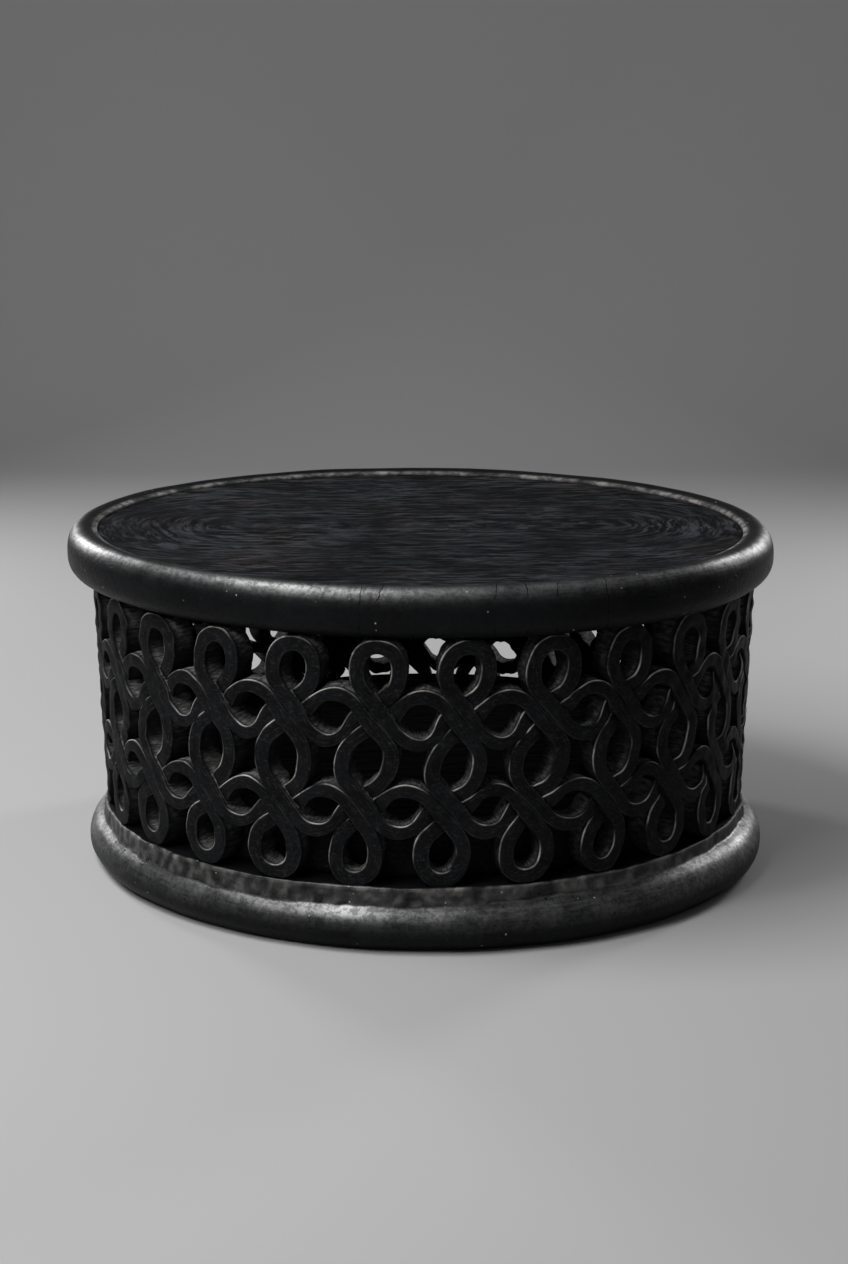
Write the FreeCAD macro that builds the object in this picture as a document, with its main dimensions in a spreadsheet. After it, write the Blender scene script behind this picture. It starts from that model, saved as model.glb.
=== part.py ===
import FreeCAD, Part
import Sketcher
import math
import os

# A low round drum table carved from dark hardwood: a dished oval top with a thick rolled rim, a pierced
# wall of interlaced strands, a solid floor inside it and a rolled base ring. Millimetres, +Z up, origin on
# the ground under the centre of the top. Azimuth 0 is the front, toward -Y, and azimuths grow toward +X.

SIZES = (
    ("top_length", 888, "long way across the oval top"),
    ("top_width", 840, "short way across the oval top"),
    ("base_length", 860, "long way across the oval base ring"),
    ("base_width", 834, "short way across the oval base ring"),
    ("drum_shift_across", 7, "how far the wall and the base ring stand to the right of the top's centre"),
    ("drum_shift_forward", 3, "how far they stand in front of it"),
    ("plan_turn", -30, "degrees that both ovals are turned about the vertical"),
    ("crown_height", 359, "floor to the underside of the rim, where the wall ends"),
    ("rim_height", 61, "thickness of the rolled rim"),
    ("rim_width", 38, "rim's outer edge to the edge of the dish"),
    ("rim_bore_inset", 78, "rim's outer edge to the opening in its underside"),
    ("rim_upper_round", 30, "rounding of the rim's upper outer edge"),
    ("rim_lower_round", 20, "rounding of the rim's lower outer edge"),
    ("dish_depth", 8, "rim down to the floor of the dish"),
    ("dish_edge_round", 4, "rounding of the rim's inner edge"),
    ("ledge_thickness", 26, "rim's ledge that carries the top panel"),
    ("spigot_depth", 16, "how far the panel's underside reaches into the ledge's opening"),
    ("panel_clearance", 0.2, "gap round the panel and its spigot"),
    ("foot_height", 75, "height of the base ring, where the wall begins"),
    ("base_bore_inset", 90, "base ring's outer edge to the opening through it"),
    ("base_shoulder_round", 26, "rounding of the base ring's upper outer edge"),
    ("base_toe_round", 24, "rounding of the base ring's lower outer edge"),
    ("floor_height", 130, "top of the solid floor that stands on the base ring, inside the wall"),
    ("floor_clearance", 0.2, "gap between that floor and the wall"),
    ("wall_top_radius", 412, "outer radius of the pierced wall under the rim"),
    ("wall_foot_radius", 402, "outer radius of the pierced wall on the base ring"),
    ("wall_thickness", 33, "thickness of the pierced wall"),
    ("column_count", 26, "columns of loops round the wall"),
    ("first_column_turn", 4.75, "degrees from the front to the first column"),
    ("strand_width", 17, "width of a strand's face"),
    ("strand_gap", 0.6, "carved line between two strands that run side by side"),
    ("loop_radius", 32.4, "outer radius of a loop's round ends"),
    ("row_spacing", 109, "height between the two rows of crossings"),
    ("crossing_to_loop", 44.5, "height from a crossing to the centre of the loop's round end"),
    ("eye_height", 29, "height of the eye-shaped openings between the columns"),
    ("lean_turn", 8, "degrees that the columns lean from upright"),
    ("bedding", 1.5, "how far the loops are cut flat where they meet the rim and the base ring"),
    ("relief", 4.5, "how far a strand's face dips where it goes under"),
    ("relief_run", 13, "length of that dip's slope"),
    ("overrun", 2.5, "how far a cutting shape passes what it cuts"),
)

doc = FreeCAD.newDocument("drum_table")
sheet = doc.addObject("Spreadsheet::Sheet", "sizes")
for row, (alias, value, note) in enumerate(SIZES, start=1):
    sheet.set(f"A{row}", alias)
    sheet.set(f"B{row}", str(value))
    sheet.set(f"C{row}", note)
    sheet.setAlias(f"B{row}", alias)
doc.recompute()


def size(expression):
    """The value of an expression in the sheet's aliases."""
    return float(sheet.evalExpression(expression))


def bound(expression):
    """The same expression as another object writes it, with each alias looked up in the sheet."""
    words = expression.replace("(", " ( ").replace(")", " ) ").split()
    aliases = {alias for alias, value, note in SIZES}
    return " ".join("sizes." + word if word in aliases else word for word in words)


# Oval parts: each is built up from ovals that keep their distance from the outer one.

RIM_TOP = "( crown_height + rim_height )"
LEDGE = "( crown_height + ledge_thickness )"
DISH_FLOOR = f"( {RIM_TOP} - dish_depth )"


def inset(name, amount):
    """Length and width of an oval that lies an amount inside the top's or the base's outer oval."""
    return f"( {name}_length - 2 * ( {amount} ) )", f"( {name}_width - 2 * ( {amount} ) )"


def oval_body(label):
    """An empty body for a part whose ovals' long way is turned with the plan."""
    body = doc.addObject("PartDesign::Body", label)
    body.setExpression("Placement.Rotation.Angle", bound("plan_turn"))
    body.Label = label
    return body


def draw_oval(sketch, length, width):
    """Draws an ellipse about the sketch's origin with its long way along X, or a circle where both ways are
    one size."""
    if length == width:
        sketch.addGeometry(Part.Circle(FreeCAD.Vector(), FreeCAD.Vector(0, 0, 1), size(length) / 2))
        rules = (("Diameter", 0, length),)
    else:
        sketch.addGeometry(Part.Ellipse(FreeCAD.Vector(), size(length) / 2, size(width) / 2))
        sketch.exposeInternalGeometry(0)
        sketch.addConstraint(Sketcher.Constraint("Horizontal", 1))
        rules = (("Distance", 1, length), ("Distance", 2, width))
    sketch.addConstraint(Sketcher.Constraint("Coincident", 0, 3, -1, 1))
    for kind, drawn, across in rules:
        rule = sketch.addConstraint(Sketcher.Constraint(kind, drawn, size(across)))
        sketch.setExpression(f"Constraints[{rule}]", bound(across))


def oval_step(body, kind, name, oval, low, high):
    """Adds what stands on an oval between two heights, as a pad from below, or cuts it away, as a pocket
    from above."""
    sketch = body.newObject("Sketcher::SketchObject", name + "_oval")
    plane = [feature for feature in body.Origin.OriginFeatures if feature.Role == "XY_Plane"][0]
    sketch.AttachmentSupport = [(plane, "")]
    sketch.MapMode = "FlatFace"
    sketch.setExpression("AttachmentOffset.Base.z", bound(low if kind == "Pad" else high))
    draw_oval(sketch, *oval)
    step = body.newObject("PartDesign::" + kind, name)
    step.Profile = sketch
    step.setExpression("Length", bound(f"{high} - {low}"))
    doc.recompute()


def round_edge(body, name, oval, height, rounding):
    """Rounds the edge of a body that follows an oval at a height."""
    tip = body.Tip
    near = size("panel_clearance") / 10
    edges = []
    for i, edge in enumerate(tip.Shape.Edges, start=1):
        box = edge.BoundBox
        level = abs(box.ZMin - size(height)) < near and abs(box.ZMax - size(height)) < near
        if level and abs(box.XLength - size(oval[0])) < near:
            edges.append(f"Edge{i}")
    fillet = body.newObject("PartDesign::Fillet", name)
    fillet.Base = (tip, edges)
    fillet.setExpression("Radius", bound(rounding))
    body.Tip = fillet
    doc.recompute()


def stand_off_centre(part):
    """Moves a part of the drum from the top's centre to the drum's own axis."""
    part.setExpression("Placement.Base.x", bound("drum_shift_across"))
    part.setExpression("Placement.Base.y", bound("0 - drum_shift_forward"))


panel = oval_body("top_panel")
oval_step(panel, "Pad", "panel_slab", inset("top", "rim_width + panel_clearance"), LEDGE, DISH_FLOOR)
oval_step(panel, "Pad", "panel_spigot", inset("top", "rim_bore_inset + panel_clearance"),
          f"( {LEDGE} - spigot_depth )", LEDGE)

rim = oval_body("top_rim")
oval_step(rim, "Pad", "rim_roll", inset("top", "0"), "crown_height", RIM_TOP)
oval_step(rim, "Pocket", "rim_dish", inset("top", "rim_width"), LEDGE, RIM_TOP)
oval_step(rim, "Pocket", "rim_bore", inset("top", "rim_bore_inset"), "crown_height", LEDGE)
round_edge(rim, "rim_brow", inset("top", "0"), RIM_TOP, "rim_upper_round")
round_edge(rim, "rim_underside", inset("top", "0"), "crown_height", "rim_lower_round")
round_edge(rim, "rim_dish_edge", inset("top", "rim_width"), RIM_TOP, "dish_edge_round")

base = oval_body("base_ring")
oval_step(base, "Pad", "base_roll", inset("base", "0"), "0", "foot_height")
oval_step(base, "Pocket", "base_bore", inset("base", "base_bore_inset"), "0", "foot_height")
round_edge(base, "base_shoulder", inset("base", "0"), "foot_height", "base_shoulder_round")
round_edge(base, "base_toe", inset("base", "0"), "0", "base_toe_round")
stand_off_centre(base)

drum_floor = oval_body("drum_floor")
across_floor = "( 2 * ( wall_foot_radius - wall_thickness - floor_clearance ) )"
oval_step(drum_floor, "Pad", "floor_disc", (across_floor, across_floor), "foot_height", "floor_height")
stand_off_centre(drum_floor)

parts = [panel, rim, base, drum_floor]

# The pierced wall. Its pattern is drawn flat, once, for one column, on a plane that touches the wall's mean
# circle in front, and every side wall of a strand runs from that drawing straight to the drum's axis.

columns = int(size("column_count"))
draw_radius = size("( wall_top_radius + wall_foot_radius ) / 2")
pitch = 2 * draw_radius * math.tan(math.pi / columns)
foot, crown = size("foot_height"), size("crown_height")
middle = (foot + crown) / 2
taper = (size("wall_top_radius") - size("wall_foot_radius")) / (crown - foot)
overrun = size("overrun")

half_width = size("strand_width / 2")
side = size("loop_radius") - half_width          # centre-line radius of a loop's round ends
lean = math.tan(math.radians(size("lean_turn")))
row = size("row_spacing / 2")
near_loop = size("crossing_to_loop")
far_loop = crown + size("bedding") - size("loop_radius") - middle - row
pair = size("strand_width + strand_gap / 2")     # half the width of two strands side by side

# At a crossing the strands run straight. Their slopes make the outer strand of each pair touch the loop's
# end circle, and the two eye circles, of one radius, then touch the pairs' inner strands.
reach = math.hypot(near_loop, lean * near_loop)
over_slope = math.atan(lean) + math.acos((pair - half_width + side) / reach)
under_slope = -math.atan(lean) + math.acos((pair - half_width + side) / reach)
offset = pair - half_width
half_eye = size("eye_height / 2") + half_width
so, co, su, cu = math.sin(over_slope), math.cos(over_slope), math.sin(under_slope), math.cos(under_slope)
over_need = half_eye + offset - so * pitch / 2
under_need = half_eye + offset - su * pitch / 2
whole = so * (cu - 1) + su * (co - 1)
eye_shift = (over_need * (cu - 1) - under_need * (co - 1)) / whole
eye_drop = (so * under_need + su * over_need) / whole
eye_round = eye_drop + half_eye


def circle(column, level, across, upward, radius):
    """A circle that the centre line turns round, placed from a column's crossing in the row of a level."""
    return (column * pitch + level * lean * row + across, middle + level * row + upward, radius)


def loop_end(column, level, upward):
    """The round end of a loop above or below a crossing, on the column's leaning centre line."""
    return circle(column, level, lean * upward, upward, side)


def eye_bottom(column, level):
    """The circle of an eye's lower edge, half a pitch to the right of a column."""
    return circle(column, level, pitch / 2 + eye_shift, eye_drop, eye_round)


def eye_top(column, level):
    """The circle of an eye's upper edge, half a pitch to the right of a column."""
    return circle(column, level, pitch / 2 - eye_shift, -eye_drop, eye_round)


def tangent_turn(first, second):
    """Direction from each centre to where the line that joins the two circles touches them."""
    along = math.hypot(second[0] - first[0], second[1] - first[1])
    return (math.atan2(second[1] - first[1], second[0] - first[0])
            - math.acos((first[2] - second[2]) / along))


def on_circle(around, turn, grow):
    """A point on a circle whose radius has grown."""
    return (around[0] + (around[2] + grow) * math.cos(turn), around[1] + (around[2] + grow) * math.sin(turn))


def edge_line(circles, grow, start, stop):
    """Edges of a line that turns counter-clockwise round circles: arcs and the straights that touch them."""
    turns = [tangent_turn(a, b) for a, b in zip(circles, circles[1:])]
    entry = [start] + turns
    leave = turns + [stop]
    edges = []
    last = None
    for around, first, second in zip(circles, entry, leave):
        if first is not None and second is not None:
            sweep = (second - first) % (2 * math.pi)
            begin = on_circle(around, first, grow)
            halfway = on_circle(around, first + sweep / 2, grow)
            end = on_circle(around, second, grow)
            if last is not None:
                edges.append(("line", last, begin))
            edges.append(("arc", begin, halfway, end))
            last = end
        elif first is None:
            last = on_circle(around, second, grow)
        else:
            edges.append(("line", last, on_circle(around, first, grow)))
            last = on_circle(around, first, grow)
    return edges


def at_distance(place, distance):
    """A drawing's point carried along its line to the drum's axis, to a plane at another distance."""
    return FreeCAD.Vector(place[0] * distance / draw_radius, -distance, place[1])


def radial_wire(outline, distance):
    """The outline's wire on a plane in front of the axis. Arcs become parts of ellipses there."""
    stretch = FreeCAD.Matrix()
    stretch.A11 = distance / draw_radius
    edges = []
    for kind, *places in outline:
        flat = [FreeCAD.Vector(x, -distance, z) for x, z in places]
        if kind == "arc":
            edges.append(Part.Arc(*flat).toShape().transformGeometry(stretch))
        else:
            edges.append(Part.LineSegment(at_distance(places[0], distance),
                                          at_distance(places[1], distance)).toShape())
    return Part.Wire(edges)


inner_distance = size("wall_foot_radius - wall_thickness") / 2
outer_distance = size("wall_top_radius") + size("wall_thickness")


def radial_prism(outline):
    """A solid whose side walls run to the drum's axis, through the whole thickness of the wall."""
    wires = [radial_wire(outline, distance) for distance in (inner_distance, outer_distance)]
    return Part.makeLoft(wires, True, True)


def strand(circles, start=None, stop=None):
    """A strand's prism: its two edges keep half its width from a centre line round the circles."""
    left = edge_line(circles, -half_width, start, stop)
    right = edge_line(circles, half_width, start, stop)
    back = [(kind,) + tuple(reversed(places)) for kind, *places in reversed(right)]
    ends = [("line", left[-1][-1], right[-1][-1])], [("line", right[0][1], left[0][1])]
    return radial_prism(left + ends[0] + back + ends[1])


def shell(inner_depth, outer_depth, first_turn, last_turn):
    """A sector of the tapered wall between two depths from its outer face."""
    section = Part.makePolygon([
        FreeCAD.Vector(0, -(draw_radius + taper * (height - middle) - depth), height)
        for depth, height in ((inner_depth, foot), (outer_depth, foot), (outer_depth, crown),
                              (inner_depth, crown), (inner_depth, foot))])
    section.rotate(FreeCAD.Vector(), FreeCAD.Vector(0, 0, 1), first_turn)
    return Part.Face(section).revolve(FreeCAD.Vector(), FreeCAD.Vector(0, 0, 1), last_turn - first_turn)


def crossing(level, along_slope, across_slope):
    """Corners of the patch where the pair along one slope covers the pair across it, a little longer."""
    centre = FreeCAD.Vector(level * lean * row, middle + level * row, 0)
    along = FreeCAD.Vector(math.cos(along_slope), math.sin(along_slope), 0)
    across = FreeCAD.Vector(math.cos(across_slope), math.sin(across_slope), 0)
    between = abs(math.sin(along_slope - across_slope))
    length, width = (pair + overrun) / between, pair / between
    return [centre + along * (i * length) + across * (j * width)
            for i, j in ((-1, -1), (1, -1), (1, 1), (-1, 1))]


def patch_outline(corners):
    """A closed outline of straight lines."""
    return [("line", (a.x, a.y), (b.x, b.y)) for a, b in zip(corners, corners[1:] + corners[:1])]


def dip(level):
    """The slopes beside a crossing that lower the strands going under, as one wedge-sided cutting block."""
    corners = crossing(level, -over_slope, under_slope)
    centre = (corners[0] + corners[2]) / 2
    out = FreeCAD.Vector(math.cos(under_slope), math.sin(under_slope), 0)
    run = size("relief_run") * (size("relief") + overrun) / size("relief")
    wide = [corner + out * (run if j > 0 else -run) for corner, j in zip(corners, (-1, -1, 1, 1))]
    rings = []
    for ring, depth in ((corners, size("relief")), (wide, -overrun)):
        ring = [FreeCAD.Vector(corner.x - centre.x, depth, corner.y - centre.y) for corner in ring]
        rings.append(Part.makePolygon(ring + ring[:1]))
    block = Part.makeLoft(rings, True, True)
    block.rotate(FreeCAD.Vector(), FreeCAD.Vector(1, 0, 0), math.degrees(math.atan(taper)))
    turn = math.atan(centre.x / draw_radius)
    block.rotate(FreeCAD.Vector(), FreeCAD.Vector(0, 0, 1), math.degrees(turn))
    reach_out = draw_radius + taper * (centre.y - middle)
    block.translate(FreeCAD.Vector(reach_out * math.sin(turn), -reach_out * math.cos(turn), centre.y))
    return block


depth, lap = size("wall_thickness"), size("wall_thickness / 2")
half_turn = 180 / columns
to_right = shell(depth, 0, -3 * half_turn, half_turn)
to_left = shell(depth, 0, -half_turn, 3 * half_turn)
inner_lap = shell(depth + overrun, lap, -2 * half_turn, 2 * half_turn)
outer_lap = shell(lap, -overrun, -2 * half_turn, 2 * half_turn)

over_cut, under_cut = {}, {}
for level in (1, -1):
    under_patch = radial_prism(patch_outline(crossing(level, under_slope, -over_slope)))
    over_patch = radial_prism(patch_outline(crossing(level, -over_slope, under_slope)))
    over_cut[level] = under_patch.common(inner_lap)
    under_cut[level] = over_patch.common(outer_lap).fuse(dip(level))

top_turn = math.pi / 2
crown_over = strand([loop_end(0, 1, far_loop), loop_end(0, 1, near_loop), eye_bottom(0, 1),
                     loop_end(1, 1, near_loop)], start=top_turn)
crown_under = strand([loop_end(-1, 1, near_loop), eye_bottom(-1, 1), loop_end(0, 1, near_loop),
                      loop_end(0, 1, far_loop)], stop=top_turn)
foot_over = strand([loop_end(0, -1, -far_loop), loop_end(0, -1, -near_loop), eye_top(-1, -1),
                    loop_end(-1, -1, -near_loop)], start=-top_turn)
foot_under = strand([loop_end(1, -1, -near_loop), eye_top(0, -1), loop_end(0, -1, -near_loop),
                     loop_end(0, -1, -far_loop)], stop=-top_turn)
ring_right = strand([loop_end(-1, -1, near_loop), eye_bottom(-1, -1), loop_end(0, -1, near_loop),
                     loop_end(0, 1, -near_loop), eye_top(-1, 1), loop_end(-1, 1, -near_loop)])
ring_left = strand([loop_end(1, 1, -near_loop), eye_top(0, 1), loop_end(0, 1, -near_loop),
                    loop_end(0, -1, near_loop), eye_bottom(0, -1), loop_end(1, -1, near_loop)])

crown_over = crown_over.common(to_right).cut(over_cut[1])
crown_under = crown_under.common(to_left).cut(under_cut[1])
foot_over = foot_over.common(to_left).cut(over_cut[-1])
foot_under = foot_under.common(to_right).cut(under_cut[-1])
ring_right = ring_right.common(to_left).cut(over_cut[1]).cut(under_cut[-1])
ring_left = ring_left.common(to_right).cut(over_cut[-1]).cut(under_cut[1])


def turned(shape, column):
    """A copy of a column's shape at another column round the drum."""
    copy = shape.copy()
    azimuth = size("first_column_turn") + 2 * half_turn * column
    copy.rotate(FreeCAD.Vector(), FreeCAD.Vector(0, 0, 1), azimuth)
    return copy


def band(halves):
    """One endless strand from its two half shapes, repeated for every column."""
    pieces = [turned(half, column) for column in range(columns) for half in halves]
    return pieces[0].multiFuse(pieces[1:]).removeSplitter()


def place_shape(label, shape, turn=0):
    """A document object that holds a strand's solid, turned about the drum's axis."""
    feature = doc.addObject("Part::Feature", label)
    feature.Shape = shape.Solids[0] if len(shape.Solids) == 1 else shape
    feature.Placement = FreeCAD.Placement(FreeCAD.Vector(), FreeCAD.Rotation(FreeCAD.Vector(0, 0, 1), turn))
    stand_off_centre(feature)
    feature.Label = label
    parts.append(feature)


place_shape("upper_strand", band((crown_over, crown_under)))
place_shape("lower_strand", band((foot_over, foot_under)))
ring = turned(ring_left, 0).fuse(turned(ring_right, 1)).removeSplitter()
for column in range(columns):
    place_shape(f"ring_{column + 1:02d}", ring, 2 * half_turn * column)

doc.recompute()
for item in doc.Objects:
    if "Invalid" in item.State or "Error" in item.State:
        raise RuntimeError(f"{item.Name} did not compute: {item.State}")
for part in parts:
    if part.Shape.isNull() or not part.Shape.isValid() or len(part.Shape.Solids) != 1:
        raise RuntimeError(f"{part.Label} is not one sound solid")

os.makedirs("parts", exist_ok=True)
for part in parts:
    part.Shape.exportStep(f"parts/{part.Label}.step")
    print(f"{part.Label}: {part.Shape.Volume / 1000:.1f} cm3, {len(part.Shape.Faces)} faces")
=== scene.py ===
import math

import bpy
import numpy as np
from bpy.props import FloatProperty, FloatVectorProperty, IntProperty, PointerProperty
from mathutils import Matrix, Vector


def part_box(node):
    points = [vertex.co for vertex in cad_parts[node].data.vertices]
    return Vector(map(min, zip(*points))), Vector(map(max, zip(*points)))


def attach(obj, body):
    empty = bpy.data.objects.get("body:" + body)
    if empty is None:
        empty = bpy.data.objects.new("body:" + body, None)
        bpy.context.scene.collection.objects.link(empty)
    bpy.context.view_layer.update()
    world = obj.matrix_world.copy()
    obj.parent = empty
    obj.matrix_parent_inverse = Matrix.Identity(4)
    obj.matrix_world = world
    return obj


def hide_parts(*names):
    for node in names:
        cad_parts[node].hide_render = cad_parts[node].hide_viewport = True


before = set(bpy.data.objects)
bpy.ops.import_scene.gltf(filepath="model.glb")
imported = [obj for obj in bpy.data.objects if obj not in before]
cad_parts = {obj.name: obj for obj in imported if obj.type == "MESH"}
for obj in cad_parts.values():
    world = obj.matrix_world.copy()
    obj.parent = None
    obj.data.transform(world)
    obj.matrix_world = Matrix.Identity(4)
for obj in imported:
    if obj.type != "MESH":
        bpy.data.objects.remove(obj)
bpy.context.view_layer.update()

bl_info = {
    "name": "Carved Drum Table",
    "version": (1, 0, 0),
    "blender": (4, 5, 0),
    "location": "3D View > Sidebar > Drum Table",
    "description": "Builds a low drum table of dark wood, with a dished top and an interlaced open wall",
    "category": "Object",
}

RIM_LOW, RIM_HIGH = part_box("top_rim")
PANEL_LOW, PANEL_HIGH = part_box("top_panel")
BASE_LOW, BASE_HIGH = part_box("base_ring")
FLOOR_LOW, FLOOR_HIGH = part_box("drum_floor")
BASE_MIDDLE = ((BASE_LOW[0] + BASE_HIGH[0]) / 2, (BASE_LOW[1] + BASE_HIGH[1]) / 2)
RINGS = sorted(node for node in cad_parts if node.startswith("ring_"))
BODY = "root"
RING_TURNS = 1300  # Points round the rim and the base ring
# Lamps: name, place, size and power in watts
LAMPS = (("high_lamp", (-1.12, -0.60, 2.45), (1.5, 0.9), 47),
         ("front_lamp", (-1.42, -1.95, 2.35), (1.4, 0.8), 33),
         ("left_lamp", (-1.80, 1.95, 1.25), (0.4, 1.1), 24),
         ("right_lamp", (1.85, 1.70, 1.20), (0.4, 1.1), 21))
# Drying cracks in the rim: middle (x, y), direction (x, y) and length
RIM_CRACKS = (((-0.035, -0.400), (0.45, 0.89), 0.045), ((0.205, -0.370), (-0.30, 0.95), 0.040),
              ((-0.060, -0.405), (0.30, 0.95), 0.026), ((0.085, -0.408), (0.20, 0.98), 0.024),
              ((0.118, -0.402), (-0.25, 0.97), 0.020), ((0.152, -0.395), (0.10, 0.99), 0.018))


# Sizes and colours to change

def sized(name, description, default):
    """A length in metres."""
    return FloatProperty(name=name, description=description, default=default, unit="LENGTH")


def turned(name, description, degrees):
    """An angle, kept in radians."""
    return FloatProperty(name=name, description=description, default=math.radians(degrees), unit="ROTATION")


def tinted(name, description, default):
    """A linear colour."""
    return FloatVectorProperty(name=name, description=description, default=default, subtype="COLOR")


class DrumPlan(bpy.types.PropertyGroup):
    """Outlines of the top and of the base ring."""
    top_length: sized("Top length", "Long way across the oval top", 0.888)
    top_width: sized("Top width", "Short way across the oval top", 0.84)
    base_length: sized("Base length", "Long way across the oval base ring", 0.86)
    base_width: sized("Base width", "Short way across the oval base ring", 0.834)
    plan_turn: turned("Plan turn", "Turn of both ovals about the vertical", -30)
    rim_width: sized("Rim width", "Rim's outer edge to the edge of the dish", 0.038)
    rim_bore: sized("Rim bore", "Rim's outer edge to the opening in its underside", 0.078)
    clearance: sized("Clearance", "Gap between the rim and the panel in it", 0.0002)
    brow_round: sized("Rim brow", "Height of the rounding from the rim's side to its crown", 0.029)
    crown_inset: sized("Crown inset", "Rim's outer edge to its highest line", 0.021)
    lip_round: sized("Rim lip", "Rounding of the rim's lower outer edge", 0.024)
    lip_drop: sized("Lip drop", "How far the rim falls from its crown to the dish's edge", 0.005)
    ledge: sized("Ledge", "Thickness of the ledge that carries the panel", 0.026)
    base_bore: sized("Base bore", "Base ring's outer edge to the opening through it", 0.09)
    roll_height: sized("Roll height", "Height of the base ring's roll", 0.0665)
    roll_round: sized("Base roll", "Height of the rounding from the roll's side to its top", 0.04)
    toe_round: sized("Base toe", "Rounding of the base ring's lower edge", 0.026)


class DrumWall(bpy.types.PropertyGroup):
    """The interlaced wall."""
    columns: IntProperty(name="Columns", description="Columns of loops round the wall", default=26)
    first_column: turned("First column", "Turn from the front to the first column", 4.75)
    top_radius: sized("Top radius", "Outer radius under the rim", 0.412)
    foot_radius: sized("Foot radius", "Outer radius on the base ring", 0.402)
    thickness: sized("Thickness", "Thickness of the wall", 0.033)
    strand_width: sized("Strand width", "Width of a strand's face", 0.017)
    strand_gap: sized("Strand gap", "Line between two strands side by side", 0.0006)
    loop_radius: sized("Loop radius", "Outer radius of a loop's round ends", 0.0324)
    row_spacing: sized("Row spacing", "Height between the rows of crossings", 0.109)
    crossing_to_loop: sized("Crossing to loop", "Crossing to the loop end's centre", 0.0445)
    eye_height: sized("Eye height", "Height of the openings between columns", 0.029)
    lean: turned("Lean", "Lean of the columns from upright", 8)
    bedding: sized("Bedding", "How far loops are cut flat at the rim and base", 0.0015)
    relief: sized("Relief", "Dip of a strand's face where it goes under", 0.0045)
    relief_run: sized("Relief run", "Length of that dip's slope", 0.013)


class DrumCarving(bpy.types.PropertyGroup):
    """How evenly the hand tools worked."""
    arris: sized("Arris", "Rounding of a strand's worn edges", 0.0014)
    flow: sized("Flow", "Reach over which a strand's bends are drawn smooth", 0.01)
    swell: sized("Swell", "Extra width of a strand away from the crossings", 0.0008)
    belly: sized("Belly", "How far the middle loops' sides bow out", 0.003)
    sag: sized("Sag", "How far the strands under the upper eyes hang down", 0.003)
    strand_wander: sized("Strand wander", "How far strands stray sideways", 0.0016)
    eye_reach: sized("Eye reach", "Half the length of an eye's lens shape", 0.03)
    eye_swell: sized("Eye swell", "Half the height of an eye's lens shape", 0.0165)
    eye_sink: sized("Eye sink", "How far the strand under an upper eye hangs down", 0.0042)
    chisel_depth: sized("Chisel depth", "Unevenness of the cut walls", 0.0007)
    foot_step: sized("Foot step", "How far the ledge under the loops stands out", 0.0045)
    rim_facet: sized("Rim facet", "Depth of the plane's facets on the rim", 0.0005)
    base_facet: sized("Base facet", "Depth of the facets on the base ring", 0.0018)
    step: sized("Step", "Spacing of points along a strand", 0.003)


class DrumFinish(bpy.types.PropertyGroup):
    """Colours of the blackened wood."""
    wax_black: tinted("Wax black", "Waxed rim and base", (0.0032, 0.0035, 0.0040))
    dish_dark: tinted("Dish dark", "Dark grain of the dish", (0.0020, 0.0023, 0.0030))
    dish_light: tinted("Dish light", "Pale grain of the dish", (0.038, 0.040, 0.045))
    wall_black: tinted("Wall black", "Faces of the carved wall", (0.0036, 0.0038, 0.0042))
    # Chisel grey of the side walls, raised as painted light on walls that face up
    chisel_and_lit_grey: tinted("Cut grey", "Side walls of the strands, rough from the chisel", (0.20, 0.195, 0.19))
    # Painted highlight, partly real rubbing: grey laid on the rolls where they face up and out toward the
    # lamps
    rubbed_grey: tinted("Rubbed grey", "Rolls of the rim and base, rubbed by use", (0.052, 0.053, 0.055))
    # Pale grey of worn edges and specks, also laid as painted highlight on up-facing strand edges and the
    # rim's lip
    wear_and_highlight_grey: tinted("Worn grey", "Edges rubbed down to the wood", (0.50, 0.48, 0.46))


class DrumStage(bpy.types.PropertyGroup):
    """Camera and floor."""
    camera_distance: sized("Camera distance", "Camera to the drum's axis", 2.8992)
    camera_height: sized("Camera height", "Camera above the floor", 0.943)
    camera_pitch: turned("Camera pitch", "Downward tilt", 12.98)
    camera_roll: turned("Camera roll", "Tilt to the side", -0.155)
    lens: FloatProperty(name="Lens", description="Focal length in mm for a 36 mm long side", default=67.2)
    floor_colour: tinted("Floor", "Floor and backdrop", (0.45, 0.45, 0.45))


GROUPS = {"drum_plan": DrumPlan, "drum_wall": DrumWall, "drum_carving": DrumCarving,
          "drum_finish": DrumFinish, "drum_stage": DrumStage}


# Meshes

def quads(rows, columns, wrap_columns=True):
    """Four corners of each cell of a grid of points that closes on itself along its rows, and along its
    columns where asked."""
    a = np.arange(rows)[:, None]
    b = np.arange(columns if wrap_columns else columns - 1)[None, :]
    a2, b2 = (a + 1) % rows, (b + 1) % columns
    a, a2 = a * columns, a2 * columns
    return np.stack([a + b, a2 + b, a2 + b2, a + b2], -1).reshape(-1, 4)


def volume(points, faces):
    """Sum over a triangle fan of each face of the triple product of its corners, a sixth of it."""
    first = points[faces[:, 0]]
    total = 0.0
    for i in range(1, faces.shape[1] - 1):
        crossed = np.cross(points[faces[:, i]], points[faces[:, i + 1]])
        total += np.einsum("ij,ij->i", first, crossed).sum()
    return total / 6


def smooth_object(name, points, faces, finish):
    """A smooth-shaded object of one material."""
    mesh = bpy.data.meshes.new(name)
    mesh.from_pydata(points.tolist(), [], faces)
    mesh.polygons.foreach_set("use_smooth", np.ones(len(faces), bool))
    mesh.materials.append(finish)
    made = bpy.data.objects.new(name, mesh)
    bpy.context.scene.collection.objects.link(made)
    return made


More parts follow.
